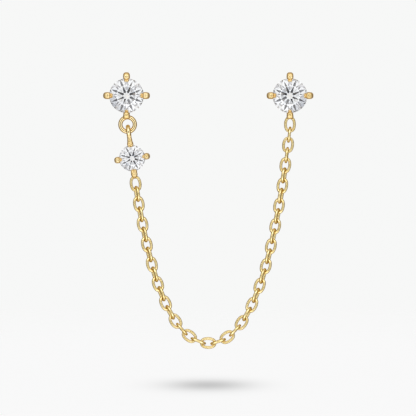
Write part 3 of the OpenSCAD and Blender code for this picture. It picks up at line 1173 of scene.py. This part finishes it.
@dataclass(frozen=True)
class Post:
    """A plain ear post with a tapered end and a fillet of solder.

    Attributes:
        radius: Its radius.
        end_r: Radius of its tip.
        length: Its length.
        taper: Length of its tapered end.
        taper_blend: How far the bend above the tapered end is spread each way.
        taper_cut: How far the post is thinner where that bend starts.
        tip_bevel: Bevel round its tip.
        fillet: Radius of the fillet of solder.
        fillet_steps: Number of steps of the fillet.
    """

    radius: float = 0.4
    end_r: float = 0.2
    length: float = 10.0
    taper: float = 0.6
    taper_blend: float = 0.05
    taper_cut: float = 0.02
    tip_bevel: float = 0.06
    fillet: float = 0.18
    fillet_steps: int = 6

    def profile(self) -> Profile:
        """Gives its profile as radius and height, from the tip to the back plate."""
        turns = [math.pi / 2 * k / self.fillet_steps for k in range(self.fillet_steps + 1)]
        return [
            (0, -self.length), (self.end_r - self.tip_bevel, -self.length),
            (self.end_r, self.tip_bevel - self.length),
            (self.radius - self.taper_cut, self.taper - self.taper_blend - self.length),
            (self.radius, self.taper + self.taper_blend - self.length),
            *((self.radius + self.fillet * (1 - math.cos(turn)), -self.fillet * (1 - math.sin(turn)))
              for turn in turns),
        ]


@dataclass(frozen=True)
class Ring:
    """A closed round ring of round wire.

    Attributes:
        inner_d: Inside diameter.
        wire: Thickness of the wire.
    """

    inner_d: float
    wire: float

    def build(self, name: str) -> Piece:
        """Models the ring about the Z axis.

        Args:
            name: Name of the piece.

        Returns:
            The ring.
        """
        start = Vector(((self.inner_d + self.wire) / 2, 0, 0))
        return bent_wire(name, self.wire, start, [Arc(0, 0, FULL_TURN, RING_STEPS)], WIRE_SIDES)


@dataclass(frozen=True)
class OvalLink:
    """An oval link of round wire: two end arcs and two flatter side arcs.

    Attributes:
        length: Outside length, along X.
        width: Outside width, along Y.
        wire: Thickness of the wire.
        nose: Inside radius of the ends.
        sides: Number of sides of the wire.
        end_steps: Number of steps of an end arc.
        side_steps: Number of steps of a side arc.
    """

    length: float = 1.9
    width: float = 1.37
    wire: float = 0.33
    nose: float = 0.3
    sides: int = 20
    end_steps: int = 14
    side_steps: int = 10

    def inner(self) -> float:
        """Inside length of the link."""
        return self.length - 2 * self.wire

    def build(self, name: str) -> Piece:
        """Models the link in the XY plane.

        Args:
            name: Name of the piece.

        Returns:
            The link.
        """
        half_width = (self.width - self.wire) / 2
        end_r = self.nose + self.wire / 2
        end_x = (self.length - self.wire) / 2 - end_r
        side_r = (end_x ** 2 + half_width ** 2 - end_r ** 2) / 2 / (half_width - end_r)
        lean = side_r - half_width
        half_side = math.atan(end_x / lean)
        half_end = math.pi / 2 - half_side
        start = Vector((end_x + end_r * math.cos(half_end), -end_r * math.sin(half_end), 0))
        return bent_wire(name, self.wire, start, [
            Arc(end_x, 0, 2 * half_end, self.end_steps), Arc(0, -lean, 2 * half_side, self.side_steps),
            Arc(-end_x, 0, 2 * half_end, self.end_steps), Arc(0, lean, 2 * half_side, self.side_steps),
        ], self.sides)


def ease(share: float) -> float:
    """Eases a share in and out between 0 and 1."""
    held = max(0.0, min(1.0, share))
    return held * held * (3 - 2 * held)


@dataclass(frozen=True)
class Layout:
    """Where the parts hang, from the same sizes as the solids.

    Attributes:
        spacing: Distance between the studs.
        girdle_height: Height of a stud stone's girdle above the back of its plate.
        ring: The jump ring.
        bail: The bail.
        link: A link of the chain.
        chain_set_back: How far the chain hangs behind the girdles of the stud stones.
        drop_set_back: How far the chain meets the drop behind the girdle of its stone.
        stud_claw_end: Distance from the middle of a stud stone to the end of a claw.
        drop_claw_end: Distance from the middle of the drop's stone to the end of a claw.
        ring_seat: Distance between the claw's outer end and the opening of the jump ring.
        ring_shift: Sideways shift of the jump ring towards the chain.
        bail_neck: Length of the neck between the drop and its bail.
        link_neck: Length of the neck between the drop and its link.
        link_gap: Clearance between two links that hang in each other.
        left_links: Number of loose links between the drop and the lowest link.
        right_links: Number of loose links between the lowest link and the right stud.
        lean: Turn of the links about the chain along its two sides, in degrees.
        lean_from: How many places from the lowest link the lean starts.
        lean_over: Over how many places it grows.
        lean_back: Over how many places it goes back at the right stud.
    """

    spacing: float = 18.9
    girdle_height: float = STUD_BASKET.girdle_height()
    ring: Ring = Ring(inner_d=1.17, wire=0.5)
    bail: Ring = Ring(inner_d=0.66, wire=0.52)
    link: OvalLink = OvalLink()
    chain_set_back: float = 0.35
    drop_set_back: float = 0.3
    stud_claw_end: float = 2.7
    drop_claw_end: float = 2.08
    ring_seat: float = 0.04
    ring_shift: float = 0.12
    bail_neck: float = 0.15
    link_neck: float = 0.28
    link_gap: float = 0.05
    left_links: int = 17
    right_links: int = 23
    lean: float = 18
    lean_from: int = 2
    lean_over: int = 4
    lean_back: int = 3

    def chain_y(self) -> float:
        """Depth of the chain's plane."""
        return self.chain_set_back - self.girdle_height

    def pitch(self) -> float:
        """Distance between two joints of the chain."""
        return self.link.inner() - self.link_gap

    def loose_links(self) -> int:
        """Number of loose links."""
        return self.left_links + 1 + self.right_links

    def ring_drop(self) -> float:
        """Distance of the jump ring's middle below the left stone."""
        return self.stud_claw_end + self.ring_seat + self.ring.inner_d / 2

    def stud_link_drop(self) -> float:
        """Distance of the end link's middle below the right stone."""
        return self.stud_claw_end + self.link.inner() / 2

    def bail_rise(self) -> float:
        """Distance of the bail's middle above the drop's stone."""
        return self.drop_claw_end + self.bail_neck + self.bail.wire + self.bail.inner_d / 2

    def drop_link_drop(self) -> float:
        """Distance of the link's middle below the drop's stone."""
        return self.drop_claw_end + self.link_neck + self.link.inner() / 2

    def ring_at(self) -> Vector:
        """Middle of the jump ring."""
        return Vector((self.ring_shift, self.chain_y(), -self.ring_drop()))

    def end_link_at(self) -> Vector:
        """Middle of the end link below the right stud."""
        return Vector((self.spacing, self.chain_y(), -self.stud_link_drop()))

    def ring_neck(self) -> Neck:
        """Neck of solder between the left stud and the jump ring."""
        top = self.ring_drop() - (self.ring.inner_d + self.ring.wire) / 2
        return Neck(Arm.BOTTOM, Vector((self.ring_shift, -top, -self.chain_set_back)), self.ring.wire)

    def end_link_neck(self) -> Neck:
        """Neck of solder between the right stud and its end link."""
        top = self.stud_link_drop() - (self.link.inner() + self.link.wire) / 2
        return Neck(Arm.BOTTOM, Vector((0, -top, -self.chain_set_back)), self.link.wire)

    def drop_necks(self) -> tuple[Neck, Neck]:
        """Necks of solder between the drop and its bail, and between the drop and its link."""
        bail_at = self.bail_rise() - (self.bail.inner_d + self.bail.wire) / 2
        link_at = self.drop_link_drop() - (self.link.inner() + self.link.wire) / 2
        return (Neck(Arm.TOP, Vector((0, bail_at, -self.drop_set_back)), self.bail.wire),
                Neck(Arm.BOTTOM, Vector((0, -link_at, -self.drop_set_back)), self.link.wire))

    def ring_to_stone(self) -> float:
        """Distance from the middle of the jump ring to the drop's stone."""
        return (self.ring.inner_d + self.bail.inner_d) / 2 - self.link_gap + self.bail_rise()

    def joints(self) -> list[Vector]:
        """Works out where the joints of the chain lie on its hanging curve.

        Returns:
            The joints, in the curve's plane, from the drop to the right stud.
        """
        start = Vector((self.ring_shift, -self.ring_drop()))
        end = Vector((self.spacing, -self.stud_link_drop() - self.pitch() / 2))
        lead = self.ring_to_stone() + self.drop_link_drop() + self.pitch() / 2
        length = lead + self.loose_links() * self.pitch()
        span, rise = end - start
        slack = math.sqrt(length ** 2 - rise ** 2) / span
        low, high, halvings = 0.01, 8.0, 50
        for _ in range(halvings):
            middle = (low + high) / 2
            low, high = (middle, high) if math.sinh(middle) / middle < slack else (low, middle)
        bend = span / (low + high)
        lowest_x = (start.x + end.x) / 2 - bend * math.atanh(rise / length)
        start_s = bend * math.sinh((start.x - lowest_x) / bend)
        lowest_z = start.y - math.hypot(bend, start_s) + bend
        lengths = [start_s + lead + k * self.pitch() for k in range(self.loose_links() + 1)]
        return [Vector((lowest_x + bend * math.asinh(s / bend), lowest_z - bend + math.hypot(bend, s)))
                for s in lengths]

    def lean_of(self, place_in_chain: int) -> float:
        """Turn of a link about the chain.

        Args:
            place_in_chain: How many places it lies right of the lowest link.

        Returns:
            Its turn in radians.
        """
        from_end = self.right_links - 1 - place_in_chain
        near_end = ease(from_end / self.lean_back) if place_in_chain > 0 else 1.0
        grown = ease((abs(place_in_chain) - self.lean_from) / self.lean_over)
        return -math.radians(self.lean) * grown * near_end


@dataclass(frozen=True)
class Golds:
    """The finishes of the gold.

    Attributes:
        claws: Softly polished gold of the claws.
        wire: Brightly polished gold of the plates, posts and rings.
        chain: Drawn gold of the chain's links.
    """

    claws: Material
    wire: Material
    chain: Material


@dataclass(frozen=True)
class Stud:
    """A stud: its stone, claws, back plate with post, and the wire below it.

    Attributes:
        side: The side on which it sits.
        x: Its place along X.
        basket: Its claws and rail.
        wire: The jump ring or link that is soldered below it.
        wire_name: Name of that piece.
        wire_at: Middle of that piece.
    """

    side: Side
    x: float
    basket: Basket
    wire: Ring | OvalLink
    wire_name: str
    wire_at: Vector

    def build(self, golds: Golds, stone: list[Material]) -> None:
        """Builds the stud's pieces and dresses them.

        Args:
            golds: Finishes of the metal.
            stone: Finishes of the stone and of its girdle.
        """
        name = self.side.name.lower()
        back = Matrix.Translation((self.x, 0, 0)) @ FACE_FRONT
        girdle = back @ Matrix.Translation((0, 0, self.basket.girdle_height()))
        solid = name + "_stud_setting"
        finish_piece(self.basket.build(name + "_claws"), girdle, solid, [golds.claws])
        plate = self.basket.plate(name + "_plate_and_post", Post().profile())
        finish_piece(plate, back, solid, [golds.wire], Shading.HARD_EDGED)
        wire = Matrix.Translation(self.wire_at) @ FACE_FRONT @ LENGTH_UP
        gold = golds.chain if isinstance(self.wire, OvalLink) else golds.wire
        finish_piece(self.wire.build(self.wire_name), wire, solid, [gold])
        gem = self.basket.stone.build(name + "_gem")
        close_seams(place(gem, Matrix.Diagonal((self.side.value, 1, 1, 1))))
        finish_piece(gem, girdle, name + "_stone", stone, Shading.FLAT)


@dataclass(frozen=True)
class Drop:
    """The small drop: its stone, claws, back plate, bail and link.

    Attributes:
        basket: Its claws and rail.
        layout: Where it hangs.
    """

    basket: Basket
    layout: Layout

    def build(self, golds: Golds, stone: list[Material]) -> None:
        """Builds the drop's pieces and dresses them.

        Args:
            golds: Finishes of the metal.
            stone: Finishes of the stone and of its girdle.
        """
        layout = self.layout
        way = layout.joints()[0] - Vector((layout.ring_shift, -layout.ring_drop()))
        tilt = -math.pi / 2 - math.atan2(way.y, way.x)
        hung = Matrix.Translation(layout.ring_at()) @ Matrix.Rotation(tilt, 4, "Y")
        hung = hung @ Matrix.Translation((0, -layout.drop_set_back, -layout.ring_to_stone()))
        girdle = hung @ FACE_FRONT
        solid = "drop_setting"
        finish_piece(self.basket.build("drop_claws"), girdle, solid, [golds.claws])
        back = girdle @ Matrix.Translation((0, 0, -self.basket.girdle_height()))
        plate = self.basket.plate("drop_plate", [])
        finish_piece(plate, back, solid, [golds.wire], Shading.HARD_EDGED)
        bail = hung @ Matrix.Translation((0, layout.drop_set_back, layout.bail_rise()))
        bail = bail @ Matrix.Rotation(math.pi / 2, 4, "Y")
        finish_piece(layout.bail.build("drop_bail"), bail, solid, [golds.wire])
        link = hung @ Matrix.Translation((0, layout.drop_set_back, -layout.drop_link_drop()))
        link = link @ FACE_FRONT @ LENGTH_UP
        finish_piece(layout.link.build("drop_link"), link, solid, [golds.chain])
        gem = self.basket.stone.build("drop_gem")
        finish_piece(gem, girdle, "drop_stone", stone, Shading.FLAT)


@dataclass(frozen=True)
class Chain:
    """The cable chain of loose links.

    Attributes:
        layout: Where it hangs.
    """

    layout: Layout

    def build(self, gold: Material) -> None:
        """Models one link and hangs a copy of it at every place of the chain.

        Args:
            gold: Finish of the metal.
        """
        pattern = self.layout.link.build("link_pattern")
        joints = self.layout.joints()
        for k in range(1, self.layout.loose_links() + 1):
            start, end = joints[k - 1], joints[k]
            middle, way = (start + end) / 2, end - start
            place_in_chain = k - 1 - self.layout.left_links
            turn = math.pi / 2 * (1 + abs(place_in_chain) % 2) + self.layout.lean_of(place_in_chain)
            matrix = Matrix.Translation((middle.x, self.layout.chain_y(), middle.y))
            matrix = matrix @ Matrix.Rotation(-math.atan2(way.y, way.x), 4, "Y")
            matrix = matrix @ Matrix.Rotation(turn, 4, "X")
            solid = f"link_{k:02d}"
            piece = copy_of(pattern, f"chain_link_{k:02d}")
            finish_piece(piece, matrix, solid, [gold])
            self.report_slip(piece, solid)
        remove(pattern)

    def report_slip(self, piece: Piece, solid: str) -> None:
        """Warns of a link that lies away from its solid.

        Args:
            piece: The dressed link.
            solid: The solid that it stands for.
        """
        low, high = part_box(solid)
        corners = [Vector(corner) for corner in piece.bound_box]
        slip = (sum(corners, Vector()) / 8 - (low + high) / 2).length
        if slip > SLIP_LIMIT:
            log.warning("%s lies %.3f mm away from its solid", piece.name, slip * 1000)


METAL_LIGHT = (
    (0, 0.20, 0.19, 0.14), (22, 0.20, 0.19, 0.14), (29, 2.40, 2.40, 2.40), (38, 2.30, 2.30, 2.30),
    (48, 0.96, 0.93, 0.86), (62, 0.90, 0.86, 0.78), (80, 0.50, 0.44, 0.34), (100, 0.38, 0.31, 0.21),
    (145, 0.34, 0.27, 0.18), (160, 0.90, 0.90, 0.90),
)
STONE_LIGHT = (
    (0, 0.04, 0.045, 0.07), (8, 0.04, 0.045, 0.07), (12, 1.10, 1.12, 1.17), (22, 1.10, 1.12, 1.17),
    (27, 0.35, 0.35, 0.39), (32, 1.10, 1.12, 1.17), (45, 1.00, 1.00, 1.03), (50, 0.10, 0.10, 0.11),
    (60, 0.20, 0.20, 0.21), (140, 0.20, 0.20, 0.21), (160, 0.90, 0.90, 0.90),
)


@dataclass(frozen=True)
class Studio:
    """The camera, the soft light all round and the pale floor.

    Attributes:
        camera_at: Place of the camera in metres.
        lens: Focal length in millimetres.
        sensor: Width of the camera's sensor in millimetres.
        floor_at: Middle of the floor in metres.
        floor_r: Radius of the floor in metres.
        floor_rings: Widths of the rings round its middle in metres.
        backdrop: Colour that the camera sees behind everything.
        dark_axis: Direction of the dark camera side, seen from the earring.
        metal_light: Angle from that side in degrees, red, green and blue of the light on the metal.
        stone_light: The same for the light that the stones gather.
        upright_share: How much more of the metal's light comes from above and below than from aside.
        light_bounces: How often light is followed through and between the pieces.
        clear_bounces: How often it is followed through what is clear without bending it.
    """

    camera_at: tuple[float, float, float] = (0.00942, -0.5368, -0.01299)
    lens: float = 400
    sensor: float = 36
    floor_at: tuple[float, float, float] = (0.00942, -0.002, -0.0333)
    floor_r: float = 0.5
    floor_rings: tuple[float, float] = (0.04, 0.1)
    backdrop: Colour = (0.93, 0.935, 0.93, 1)
    dark_axis: tuple[float, float, float] = (0, -1, -0.02)
    metal_light: Rows = METAL_LIGHT
    stone_light: Rows = STONE_LIGHT
    upright_share: float = 0.45
    light_bounces: int = 24
    clear_bounces: int = 16

    def build_camera(self) -> None:
        """Places the camera level with the middle of the earring, as in the photograph."""
        deselect_all()
        bpy.ops.object.camera_add(location=self.camera_at, rotation=(math.pi / 2, 0, 0))
        camera = bpy.context.object
        camera.name = "studio_camera"
        camera.data.lens = self.lens
        camera.data.sensor_width = self.sensor
        bpy.context.scene.camera = camera

    def build_floor(self) -> None:
        """Models the floor, a wide flat disc of three rings."""
        deselect_all()
        bpy.ops.mesh.primitive_circle_add(
            vertices=RING_STEPS, radius=self.floor_r, fill_type="NGON", location=self.floor_at)
        floor = place(name_active("studio_floor"), Matrix.Translation(self.floor_at))
        edit_all(floor)
        for width in self.floor_rings:
            bpy.ops.mesh.inset(thickness=width)
        bpy.ops.object.mode_set(mode="OBJECT")
        floor.data.materials.append(FloorFinish().build())
        floor.visible_glossy = floor.visible_transmission = floor.visible_diffuse = False

    def ramp(self, wiring: Wiring, angle: Socket, light: Rows) -> Socket:
        """Adds a colour ramp that follows a light.

        Args:
            wiring: Wiring of the world's tree.
            angle: The angle from the camera's side, as a share of a half turn.
            light: Angle in degrees, red, green and blue of each stop.

        Returns:
            The ramp's colour.
        """
        ramp = wiring.add("ValToRGB", {0: angle})
        stops = ramp.color_ramp.elements
        for number, (degrees, *colour) in enumerate(light):
            stop = stops[number] if number < 2 else stops.new(degrees / 180)
            stop.position = degrees / 180
            stop.color = (*colour, 1)
        return ramp.outputs[0]

    def build_light(self) -> None:
        """Surrounds the earring with soft light that is dark only round the camera and far aside."""
        world = bpy.data.worlds.new("soft_studio")
        bpy.context.scene.world = world
        world.use_nodes = True
        world.node_tree.nodes.clear()
        wiring = Wiring(world.node_tree)
        way = wiring.add("TexCoord", {}).outputs["Generated"]
        along = wiring.vector("DOT_PRODUCT", way, Vector(self.dark_axis).normalized())
        angle = wiring.maths("DIVIDE", wiring.maths("ARCCOSINE", along), math.pi)
        upright = wiring.vector("DOT_PRODUCT", wiring.vector("MULTIPLY", way, way), (-1, 0, 1))
        share = wiring.maths("MULTIPLY_ADD", upright, self.upright_share, 1.0)
        metal = wiring.vector("MULTIPLY", self.ramp(wiring, angle, self.metal_light), share)
        stone = self.ramp(wiring, angle, self.stone_light)
        ray = wiring.add("LightPath", {}).outputs
        light = wiring.mix(ray["Is Transmission Ray"], metal, stone)
        soft = wiring.add("Background", {"Color": light}).outputs[0]
        plain = wiring.add("Background", {"Color": self.backdrop}).outputs[0]
        mixed = wiring.add("MixShader", {0: ray["Is Camera Ray"], 1: soft, 2: plain}).outputs[0]
        wiring.add("OutputWorld", {0: mixed})

    def build(self) -> None:
        """Builds the studio and sets how far light is followed through the stones."""
        scene = bpy.context.scene
        scene.view_settings.view_transform = "Standard"
        scene.cycles.max_bounces = self.light_bounces
        scene.cycles.glossy_bounces = self.light_bounces
        scene.cycles.transmission_bounces = self.light_bounces
        scene.cycles.transparent_max_bounces = self.clear_bounces
        scene.cycles.blur_glossy = 0
        self.build_camera()
        self.build_floor()
        self.build_light()


def main() -> None:
    """Builds the earring and the studio in order."""
    logging.basicConfig(level=logging.INFO, format="%(name)s: %(message)s")
    bpy.context.preferences.edit.use_global_undo = False
    log.info("%d solids to dress", len(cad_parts))
    golds = Golds(CLAW_GOLD.build(), WIRE_GOLD.build(), CHAIN_GOLD.build())
    stone = [CLEAR_STONE.build(), FROSTED_GIRDLE.build()]
    layout = Layout()
    Stud(Side.LEFT, 0, replace(STUD_BASKET, necks=(layout.ring_neck(),)),
         layout.ring, "left_jump_ring", layout.ring_at()).build(golds, stone)
    Stud(Side.RIGHT, layout.spacing, replace(STUD_BASKET, necks=(layout.end_link_neck(),)),
         layout.link, "right_end_link", layout.end_link_at()).build(golds, stone)
    Drop(replace(DROP_BASKET, necks=layout.drop_necks()), layout).build(golds, stone)
    Chain(layout).build(golds.chain)
    Studio().build()


if __name__ == "__main__":
    main()
